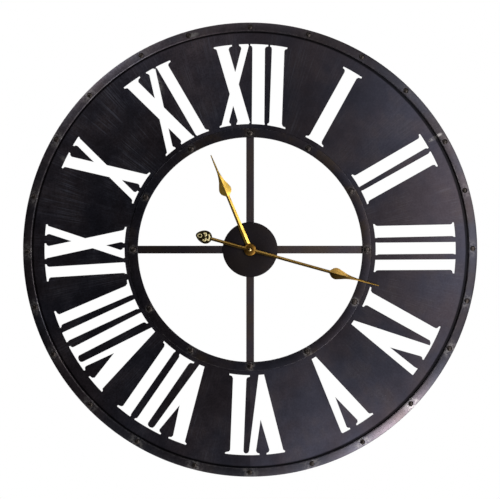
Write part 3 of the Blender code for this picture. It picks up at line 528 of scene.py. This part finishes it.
def moved(bm, x=0.0, y=0.0, z=0.0, turn=0.0):
    """Turn a bmesh clockwise about the arbor by degrees, then move it."""
    s, c = math.sin(math.radians(turn)), math.cos(math.radians(turn))
    for vert in bm.verts:
        px, pz = vert.co.x, vert.co.z
        vert.co.x = px * c + pz * s + x
        vert.co.z = pz * c - px * s + z
        vert.co.y += y
    return bm


def refined(node, material, width):
    """A CAD node's own shape with its sharp edges eased, standing for that node."""
    bm = bmesh.new()
    bm.from_mesh(nodes[node].data)
    bmesh.ops.remove_doubles(bm, verts=bm.verts, dist=1e-6)
    bmesh.ops.dissolve_limit(bm, angle_limit=math.radians(1), verts=bm.verts, edges=bm.edges)
    made = make(f"{node}_piece", bm, material, body_of(nodes[node])[0])
    bevel = made.modifiers.new("Eased edges", "BEVEL")
    bevel.width = width
    bevel.segments = 2
    bevel.limit_method = "ANGLE"
    bevel.angle_limit = math.radians(35)
    bevel.use_clamp_overlap = True
    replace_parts(made, node)


def skin(node, material):
    """A CAD node keeps its shape and takes a finished material."""
    mesh = nodes[node].data
    mesh.materials.clear()
    mesh.materials.append(material)


# --- The dial --------------------------------------------------------------------------------

def front_loops(node):
    """The outlines of a flat CAD node's front face, each with the metal on its left."""
    bm = bmesh.new()
    bm.from_mesh(nodes[node].data)
    bmesh.ops.remove_doubles(bm, verts=bm.verts, dist=1e-6)
    following = {}
    for face in bm.faces:
        if face.normal.y > -0.9:
            continue
        for loop in face.loops:
            others = [f for f in loop.edge.link_faces if f is not face]
            if others and others[0].normal.y > -0.9:
                following[loop.vert.index] = loop.link_loop_next.vert.index
    places = [Vector((v.co.x, v.co.z)) for v in bm.verts]
    bm.free()
    loops = []
    while following:
        start = here = next(iter(following))
        outline = []
        while here in following:
            outline.append(places[here])
            here = following.pop(here)
        if here == start and len(outline) > 2:
            loops.append(thinned(outline))
    return loops


def thinned(outline, shortest=0.7 * MM):
    """An outline without points closer together than a length, or in line with their neighbours."""
    kept = []
    for point in outline:
        if not kept or (point - kept[-1]).length > shortest:
            kept.append(point)
    if (kept[0] - kept[-1]).length < shortest:
        kept.pop()
    count = len(kept)
    corners = []
    for i, point in enumerate(kept):
        a = (point - kept[i - 1]).normalized()
        b = (kept[(i + 1) % count] - point).normalized()
        if abs(a.x * b.y - a.y * b.x) > 0.01 or a.dot(b) < 0:
            corners.append(point)
    return corners


def inset(outline, width):
    """An outline moved into the metal on its left."""
    out = []
    count = len(outline)
    for i, point in enumerate(outline):
        a = (point - outline[i - 1]).normalized()
        b = (outline[(i + 1) % count] - point).normalized()
        left = Vector((-a.y - b.y, a.x + b.x))
        reach = width * 2 / max(left.length_squared, 0.5)
        out.append(point + left * reach)
    return out


def pierced_sheet(loops, front, back, chamfer):
    """A pierced plate whose front edges are chamfered."""
    bm = bmesh.new()

    def ring(outline, depth):
        return [bm.verts.new((p.x, depth, p.y)) for p in outline]

    def bridge(first, second):
        for i in range(len(first)):
            k = (i + 1) % len(first)
            bm.faces.new((first[i], first[k], second[k], second[i]))

    top = [ring(inset(outline, chamfer), front) for outline in loops]
    edge = [ring(outline, front + chamfer) for outline in loops]
    bottom = [ring(outline, back) for outline in loops]
    for rings in (top, bottom):
        edges = []
        for verts in rings:
            edges += [bm.edges.new((verts[i - 1], verts[i])) for i in range(len(verts))]
        bmesh.ops.triangle_fill(bm, use_beauty=True, edges=edges, normal=(0, 1, 0))
    for first, second, third in zip(top, edge, bottom):
        bridge(first, second)
        bridge(second, third)
    return bm


def build_dial():
    """The pierced plate. Its rivet holes are left out, since the rivets fill them."""
    outlines = []
    for outline in front_loops("dial_plate"):
        distances = [point.length for point in outline]
        if max(distances) - min(distances) > 10 * MM or len(outline) > 40:
            outlines.append(outline)
    # The dial: painted sheen and shade by sectors, and a painted shadow along the rim's inner edge
    steel = black_steel("dial_steel", tone=1.0, warmth=0.22, spots=DIAL_SPOTS,
                        shadow_seams=(RIM_RADIUS - RIM_WIDTH - 0.8 * MM,), sheen_sectors=DIAL_SHEEN_SECTORS)
    dial = make("dial_sheet", pierced_sheet(outlines, DIAL_FRONT, DIAL_BACK, 0.25 * MM), steel)
    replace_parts(dial, "dial_plate")


# --- Rim, ring, disc and bars ----------------------------------------------------------------

def build_rim():
    inner = RIM_RADIUS - RIM_WIDTH
    # The rim: painted sheen and shade by sectors, and a bright line on its inner rounding, partly painted
    # highlight
    steel = black_steel("rim_steel", tone=1.25, warmth=0.3, brushed=0.4, turned=0.6,
                        edges=(inner + 1.8 * MM,), rivets=(RIM_DRIFTS, RIVET_CIRCLE, 20 * MM),
                        spots=RIM_SPOTS, sheen_sectors=RIM_SHEEN_SECTORS,
                        tints=((0.045, 0.044, 0.056), (0.056, 0.046, 0.053)))
    profile = [(inner, RIM_BACK, 0), (inner, RIM_FRONT, 2.0), (RIM_RADIUS - 12.5 * MM, RIM_FRONT, 0)]
    for out, fall in RIM_CROWN:
        profile.append((RIM_RADIUS - out * MM, RIM_FRONT + fall * MM, 0))
    profile += [(RIM_RADIUS, RIM_FRONT + 1.10 * MM, 0.6), (RIM_RADIUS, WALL, 0.8),
                (RIM_RADIUS - SKIRT, WALL, 0.8), (RIM_RADIUS - SKIRT, RIM_BACK, 0)]
    rim = make("rim_band", lathe(rounded(profile, 6), 288), steel)
    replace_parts(rim, "outer_rim")


def build_ring():
    # The ring's outer edge carries a bright line that is partly painted highlight
    steel = black_steel("ring_steel", tone=0.95, warmth=0.9, brushed=0.3, edges=(RING_OUTER,),
                        rivets=(RING_DRIFTS, RING_RIVET_CIRCLE, 11 * MM))
    profile = [(RING_INNER, RING_BACK, 0), (RING_INNER, RING_FRONT, 0.9),
               (RING_OUTER, RING_FRONT, 1.3), (RING_OUTER, RING_BACK, 0)]
    ring = make("ring_band", lathe(rounded(profile, 5), 216), steel)
    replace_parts(ring, "inner_ring")


def hammered_rivet(radius, height, face, tail_start, seed):
    """A domed head with hammer flats, a plain shank and a peened tail."""
    rows = 7
    profile = [(0.0, face - height)]
    for i in range(1, rows + 1):
        a = math.radians(90 - 90 * i / rows)
        profile.append((radius * math.cos(a), face - height * math.sin(a) * 0.86 - height * 0.14))
    seat = face + 0.45 * MM
    shank = 2.5 * MM
    profile += [(radius, seat), (shank, seat), (shank, tail_start), (3.9 * MM, tail_start),
                (3.6 * MM, tail_start + 0.9 * MM), (2.4 * MM, tail_start + 1.2 * MM),
                (0.0, tail_start + 1.2 * MM)]
    bm = lathe(profile, 24)
    for vert in bm.verts:
        if vert.co.y < face - 0.05 * height:
            place = vert.co * 260 + Vector((seed * 3.1, seed, seed * 1.7))
            vert.co.y += 0.35 * MM * noise.noise(place) + 0.15 * MM
            spread = 1 + 0.07 * noise.noise(vert.co * 140 + Vector((seed, 0, seed)))
            vert.co.x *= spread
            vert.co.z *= spread
    return bm


def build_rivets():
    steel = rivet_steel("rivet_steel_worn")
    low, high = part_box("rim_rivet_01")
    radius = (high[2] - low[2]) / 2
    height = RIM_FRONT - GAP - low[1]
    for number, (x, z) in enumerate(RIM_PLACES, 1):
        node = f"rim_rivet_{number:02d}"
        bm = hammered_rivet(radius * 0.97, height, RIM_FRONT - 0.02 * MM, DIAL_BACK + GAP, number)
        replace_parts(make(f"{node}_head", moved(bm, x, 0, z), steel), node)
    height = RING_FRONT - depth_of("inner_ring")[0]
    for number, drift in enumerate(RING_DRIFTS):
        angle = math.radians(360 * number / len(RING_DRIFTS) + drift)
        tail = BAR_BACK if number % 3 == 0 else DIAL_BACK
        bm = hammered_rivet(5.6 * MM, height, RING_FRONT - 0.02 * MM, tail + GAP, 50 + number)
        x, z = RING_RIVET_CIRCLE * math.sin(angle), RING_RIVET_CIRCLE * math.cos(angle)
        make(f"ring_rivet_{number + 1:02d}", moved(bm, x, 0, z), steel)


def build_hub():
    steel = painted_black("hub_steel", tone=0.6, warmth=0.6)
    front, back = depth_of("centre_disc")
    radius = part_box("centre_disc")[1][0]
    profile = [(BUSH_HOLE, back, 0), (BUSH_HOLE, front, 0.4), (radius, front, 0.6), (radius, back, 0.4)]
    disc = make("hub_disc", lathe(rounded(profile), 144), steel)
    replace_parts(disc, "centre_disc")
    # Bars and hanger: painted shade darkens their left side
    bar_steel = painted_black("bar_steel", tone=1.75, warmth=0.9, left=0.45)
    for bar in ("vertical_bar", "horizontal_bar"):
        refined(bar, bar_steel, 0.5 * MM)
    refined("wall_hanger", bar_steel, 0.4 * MM)


# --- Hands -----------------------------------------------------------------------------------

def smooth_outline(points, step=2.0 * MM):
    """Half widths along a hand, eased through (distance, half width) points."""
    slopes = []
    for i, (_, half) in enumerate(points):
        before, after = points[max(i - 1, 0)], points[min(i + 1, len(points) - 1)]
        peak = (half - before[1]) * (after[1] - half) <= 0
        slopes.append(0.0 if peak else (after[1] - before[1]) / (after[0] - before[0]))
    out = []
    for i in range(len(points) - 1):
        (start, low), (end, high) = points[i], points[i + 1]
        span = end - start
        count = max(2, round(span / step))
        for k in range(count):
            t = k / count
            half = (low * (1 + 2 * t) * (1 - t) ** 2 + slopes[i] * span * t * (1 - t) ** 2
                    + high * t * t * (3 - 2 * t) + slopes[i + 1] * span * t * t * (t - 1))
            out.append((start + span * t, max(half, 0.3 * MM)))
    out.append(points[-1])
    return out


def ridge_height(half):
    """How high a hand's fold stands for a half width."""
    return min(1.75 * MM, 0.65 * MM + half * 0.42)


def folded_blade(outline, back, crowned=False):
    """Sheet folded along its middle, or crowned, from an outline of (distance, half width) points."""
    bm = bmesh.new()
    loops = []
    for distance, half in outline:
        ridge = back - ridge_height(half)
        flat = min(0.18 * MM, half * 0.2)
        lip = BRASS_SHEET * 0.8
        inner = min(ridge + BRASS_SHEET, back - 0.1 * MM)
        section = [(-half, back), (-half, back - lip), (-flat, ridge + 0.05 * MM), (0, ridge),
                   (flat, ridge + 0.05 * MM), (half, back - lip), (half, back), (0, inner)]
        if crowned:
            rise = back - lip - ridge
            section[2:5] = [(half * k / 4, ridge + rise * (k / 4) ** 2) for k in range(-3, 4)]
        loops.append([bm.verts.new((x, y, distance)) for x, y in section])
    for first, second in zip(loops, loops[1:]):
        for i in range(len(first)):
            k = (i + 1) % len(first)
            bm.faces.new((first[i], first[k], second[k], second[i]))
    bm.faces.new(loops[0])
    bm.faces.new(loops[-1])
    return bm


def wire(points, radius, closed=True):
    """A flattened wire through points that all lie at one depth."""
    sides, flat = 10, 0.55
    bm = bmesh.new()
    loops = []
    count = len(points)
    for i, point in enumerate(points):
        if closed:
            ahead = points[(i + 1) % count] - points[i - 1]
        else:
            ahead = points[min(i + 1, count - 1)] - points[max(i - 1, 0)]
        ahead.normalize()
        out = Vector((ahead.z, 0, -ahead.x))
        loop = []
        for k in range(sides):
            a = 2 * math.pi * k / sides
            lift = Vector((0, flat * radius * math.sin(a), 0))
            loop.append(bm.verts.new(point + out * radius * math.cos(a) + lift))
        loops.append(loop)
    for i in range(count if closed else count - 1):
        first, second = loops[i], loops[(i + 1) % count]
        for k in range(sides):
            m = (k + 1) % sides
            bm.faces.new((first[k], first[m], second[m], second[k]))
    if not closed:
        bm.faces.new(loops[0])
        bm.faces.new(loops[-1])
    return bm


def slab(outline, front, back):
    """A flat plate from an outline of points."""
    bm = bmesh.new()
    rings = [[bm.verts.new((p.x, y, p.z)) for p in outline] for y in (front, back)]
    bm.faces.new(rings[0])
    bm.faces.new(rings[1])
    for i in range(len(outline)):
        bm.faces.new((rings[0][i - 1], rings[0][i], rings[1][i], rings[1][i - 1]))
    return bm


def build_hour_hand(gold):
    back = depth_of("hour_hand")[1]
    outline = smooth_outline([(5.5 * MM, 4.3 * MM), (40 * MM, 3.9 * MM), (102 * MM, 3.2 * MM),
                              (104 * MM, 5.0 * MM), (107 * MM, 8.4 * MM), (110.5 * MM, 10.3 * MM),
                              (114.5 * MM, 10.9 * MM), (122 * MM, 8.7 * MM), (131 * MM, 5.1 * MM),
                              (146 * MM, 2.1 * MM), (163 * MM, 1.5 * MM), (180 * MM, 0.95 * MM)], 1.0 * MM)
    blade = moved(folded_blade(outline, back), turn=HOUR_ANGLE)
    hand = make("hour_blade", blade, gold, "hour", 25)
    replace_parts(hand, "hour_hand")
    profile = [(2.8 * MM, back, 0), (2.8 * MM, back - 0.9 * MM, 0.25), (8.5 * MM, back - 0.9 * MM, 0.25),
               (8.5 * MM, back, 0.25)]
    make("hour_boss", lathe(rounded(profile), 48), gold, "hour")


def drop_outline(near, far, half, count):
    """A drop, round towards the hub and blunt-pointed outward, hanging below the hub."""
    centre = near + half
    points = []
    for i in range(count):
        a = 2 * math.pi * i / count
        x, reach = half * math.sin(a), math.cos(a)
        if reach < 0:
            x *= 1 - 0.3 * reach * reach
            z = centre - (far - centre) * reach
        else:
            z = centre - half * reach
        points.append(Vector((x, 0, -z)))
    return points


def arc(centre, start, end, radius_from, radius_to, count=18):
    """Points along an arc or spiral, by angle from outward-up, clockwise in degrees."""
    points = []
    for i in range(count):
        t = i / (count - 1)
        a = math.radians(start + (end - start) * t)
        r = (radius_from + (radius_to - radius_from) * t) * MM
        points.append(Vector((centre[0] * MM + r * math.sin(a), 0, centre[1] * MM + r * math.cos(a))))
    return points


def build_tail(gilt, dark, back):
    """The counterweight: a dark drop-shaped plate with a heavy border and gold scrolls in relief."""
    face = back - 0.6 * MM
    plate = slab(drop_outline(70.6 * MM, 98.4 * MM, 11.0 * MM, 64), face, back)
    border = wire(drop_outline(71.0 * MM, 97.9 * MM, 10.5 * MM, 64), 1.15 * MM)
    crescent = wire(arc((0, -81.6), -58, 40, 7.0, 6.8), 1.7 * MM, False)
    left = wire(arc((-4.4, -84.2), 70, -170, 3.0, 1.7), 1.6 * MM, False)
    right = wire(arc((4.4, -82.6), -70, 170, 3.0, 1.7), 1.6 * MM, False)
    loop = wire(drop_outline(88.6 * MM, 95.6 * MM, 3.1 * MM, 24), 0.65 * MM)
    parts = [("tail_plate", plate, dark, 0), ("tail_border", border, dark, 0.15),
             ("tail_crescent", crescent, gilt, 0.45), ("tail_scroll_left", left, gilt, 0.45),
             ("tail_scroll_right", right, gilt, 0.45), ("tail_loop", loop, gilt, 0.3)]
    for name, bm, material, lift in parts:
        raised = 0 if name == "tail_plate" else face - lift * MM
        make(name, moved(bm, y=raised, turn=MINUTE_ANGLE), material, "minute")


def build_minute_hand(gold, aged, dark, bright, polished):
    back = depth_of("minute_hand")[1]
    outline = smooth_outline([(6 * MM, 2.8 * MM), (60 * MM, 2.8 * MM), (144.5 * MM, 2.7 * MM),
                              (147 * MM, 4.6 * MM), (150.5 * MM, 8.2 * MM), (157 * MM, 10.2 * MM),
                              (165 * MM, 8.2 * MM), (178 * MM, 4.2 * MM), (196 * MM, 1.9 * MM),
                              (215 * MM, 1.4 * MM), (235 * MM, 0.9 * MM)], 1.0 * MM)
    blade = moved(folded_blade(outline, back), turn=MINUTE_ANGLE)
    hand = make("minute_blade", blade, gold, "minute", 25)
    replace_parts(hand, "minute_hand")
    tail = folded_blade([(-72 * MM, 3.0 * MM), (-40 * MM, 2.9 * MM), (-6 * MM, 3.0 * MM)], back, True)
    make("minute_tail", moved(tail, turn=MINUTE_ANGLE), gold, "minute", 25)
    build_tail(bright, dark, back)
    profile = [(2.05 * MM, back, 0), (2.05 * MM, back - 2.0 * MM, 0.3), (5.8 * MM, back - 1.95 * MM, 1.5),
               (9.4 * MM, back - 1.3 * MM, 1.2), (10.9 * MM, back - 0.6 * MM, 0.4), (10.9 * MM, back, 0)]
    make("minute_boss", lathe(rounded(profile), 64), aged, "minute")
    front, nut_back = depth_of("hand_nut")
    radius, rise = 3.35 * MM, 2.0 * MM
    dome = [(0.0, front)]
    for i in range(1, 7):
        a = math.radians(90 - 15 * i)
        dome.append((radius * math.cos(a), front + rise - rise * math.sin(a)))
    dome += [(radius, nut_back), (0.0, nut_back)]
    nut = make("cap_nut", lathe(dome, 40), polished, "minute")
    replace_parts(nut, "hand_nut")


# --- Movement --------------------------------------------------------------------------------

def build_movement():
    black = moulded("case_plastic", (0.022, 0.022, 0.024))
    white = moulded("wheel_plastic", (0.74, 0.73, 0.68), 0.42, 900.0)
    steel = bright_metal("bright_steel_drawn", (0.60, 0.60, 0.62))
    gold = brass("movement_brass", rough=0.3, tarnish=0.3)
    refined("movement_case", black, 0.35 * MM)
    refined("movement_cover", black, 0.3 * MM)
    refined("setting_knob", black, 0.2 * MM)
    refined("fixing_nut", gold, 0.3 * MM)
    refined("rubber_washer", moulded("washer_rubber", (0.015, 0.015, 0.015), 0.8, 700.0), 0.2 * MM)
    low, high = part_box("battery")
    refined("battery", cell_sleeve("cell_sleeve", low[0], high[0]), 0.3 * MM)
    for node in ("train_bridge", "hour_wheel", "minute_work_wheel", "third_wheel", "seconds_wheel",
                 "fifth_wheel"):
        skin(node, white)
    for node in ("minute_arbor", "contact_positive", "contact_negative", "quartz_crystal", "coil_core",
                 "stator", "rotor"):
        skin(node, steel)
    skin("centre_wheel", gold)
    skin("coil_winding", wound_copper("coil_copper"))
    skin("circuit_board", board_green("solder_mask"))


# --- Stage -----------------------------------------------------------------------------------

def build_stage():
    floor_bm = bmesh.new()
    bmesh.ops.create_circle(floor_bm, cap_ends=True, radius=2.2, segments=96)
    mesh = bpy.data.meshes.new("floor")
    floor_bm.to_mesh(mesh)
    floor_bm.free()
    floor = bpy.data.objects.new("floor", mesh)
    floor.location = (0, 0, FLOOR)
    bpy.context.collection.objects.link(floor)
    r = Recipe("floor_paint")
    tone = r.noise(r.place, 3.0, 3.0, 0.5)
    paint = r.mix(tone, (0.86, 0.86, 0.85), (0.90, 0.90, 0.89))
    mesh.materials.append(r.finish(base_color=paint, roughness=0.8))


def area_light(name, place, size, power, aim):
    data = bpy.data.lights.new(name, "AREA")
    data.shape = "RECTANGLE"
    data.size, data.size_y = size
    data.energy = power
    made = bpy.data.objects.new(name, data)
    made.location = place
    made.rotation_euler = (Vector(aim) - Vector(place)).to_track_quat("-Z", "Y").to_euler()
    made.visible_camera = False
    bpy.context.collection.objects.link(made)


def build_world():
    """White behind the object, and a dim even light from everywhere."""
    world = bpy.data.worlds.new("studio")
    world.use_nodes = True
    bpy.context.scene.world = world
    tree = world.node_tree
    dim = tree.nodes["Background"]
    dim.inputs["Color"].default_value = (0.9, 0.92, 1.0, 1)
    dim.inputs["Strength"].default_value = AMBIENT
    white = tree.nodes.new("ShaderNodeBackground")
    white.inputs["Color"].default_value = (1, 1, 1, 1)
    white.inputs["Strength"].default_value = 1.0
    seen = tree.nodes.new("ShaderNodeLightPath").outputs["Is Camera Ray"]
    mix = tree.nodes.new("ShaderNodeMixShader")
    tree.links.new(seen, mix.inputs[0])
    tree.links.new(dim.outputs[0], mix.inputs[1])
    tree.links.new(white.outputs[0], mix.inputs[2])
    tree.links.new(mix.outputs[0], tree.nodes["World Output"].inputs["Surface"])


# Each softbox: name, place, width and height, and power in watts
LIGHTS = (
    ("glint", (1.0, -1.56, 0.43), (0.5, 0.5), 4.0),
    ("near_right", (0.8, -1.65, 0.1), (0.3, 0.6), 3.4),
    ("low_right", (0.75, -1.6, -0.8), (0.4, 0.4), 7.4),
    ("upper_left", (-0.9, -1.5, 1.0), (0.5, 0.5), 3.5),
    ("top", (0.1, -1.3, 1.25), (0.6, 0.4), 1.0),
    ("front_top", (0.15, -1.8, 0.83), (0.4, 0.4), 0.25),
    ("overhead", (0.0, 1.3, 2.4), (2.4, 1.4), 45),
    ("back_fill", (-0.80, 2.20, 1.20), (2.0, 1.4), 40),
    ("left_back_fill", (-1.90, 0.70, 0.30), (1.0, 1.4), 18),
)


def build_lights():
    for name, place, size, power in LIGHTS:
        aim = (0, 0.5, FLOOR) if name == "overhead" else (0, 0, 0)
        area_light(name, place, size, power, aim)


def build_camera():
    data = bpy.data.cameras.new("camera")
    data.sensor_width = 36
    data.lens = 36 * CAMERA_DISTANCE / FRAME_WIDTH
    camera = bpy.data.objects.new("camera", data)
    camera.location = (-0.0002, DIAL_FRONT - CAMERA_DISTANCE, 0.0002)
    camera.rotation_euler = (math.radians(90), 0, 0)
    bpy.context.collection.objects.link(camera)
    bpy.context.scene.camera = camera


def main():
    bpy.context.scene.view_settings.view_transform = "Standard"
    build_camera()
    build_world()
    build_stage()
    build_lights()
    build_dial()
    build_rim()
    build_ring()
    build_rivets()
    build_hub()
    gold = brass("hand_brass", (0.92, 0.59, 0.115), (0.50, 0.27, 0.04), rough=0.35)
    # Pale, partly non-metallic gilt that stays bright under any light: painted highlight for the tail's
    # relief
    scroll = brass("scroll_gilt", (1.0, 0.86, 0.44), (0.80, 0.58, 0.20), 0.28, metallic=0.35)
    # The minute hand: its upper side is painted lighter and its lower side darker, as painted highlight and
    # shade
    deep = brass("minute_hand_brass", (0.56, 0.33, 0.080), (0.34, 0.19, 0.040), 0.31,
                 sides=(MINUTE_ANGLE, 1.3, 0.14))
    aged = brass("hand_brass_aged", (0.215, 0.108, 0.020), (0.13, 0.062, 0.013), 0.36, 0.6)
    polished = brass("nut_brass", (0.80, 0.58, 0.26), (0.40, 0.25, 0.09), 0.24)
    dark = brass("hand_bronze", (0.050, 0.036, 0.014), (0.020, 0.015, 0.008), 0.36, 0.8)
    build_hour_hand(gold)
    build_minute_hand(deep, aged, dark, scroll, polished)
    build_movement()


main()
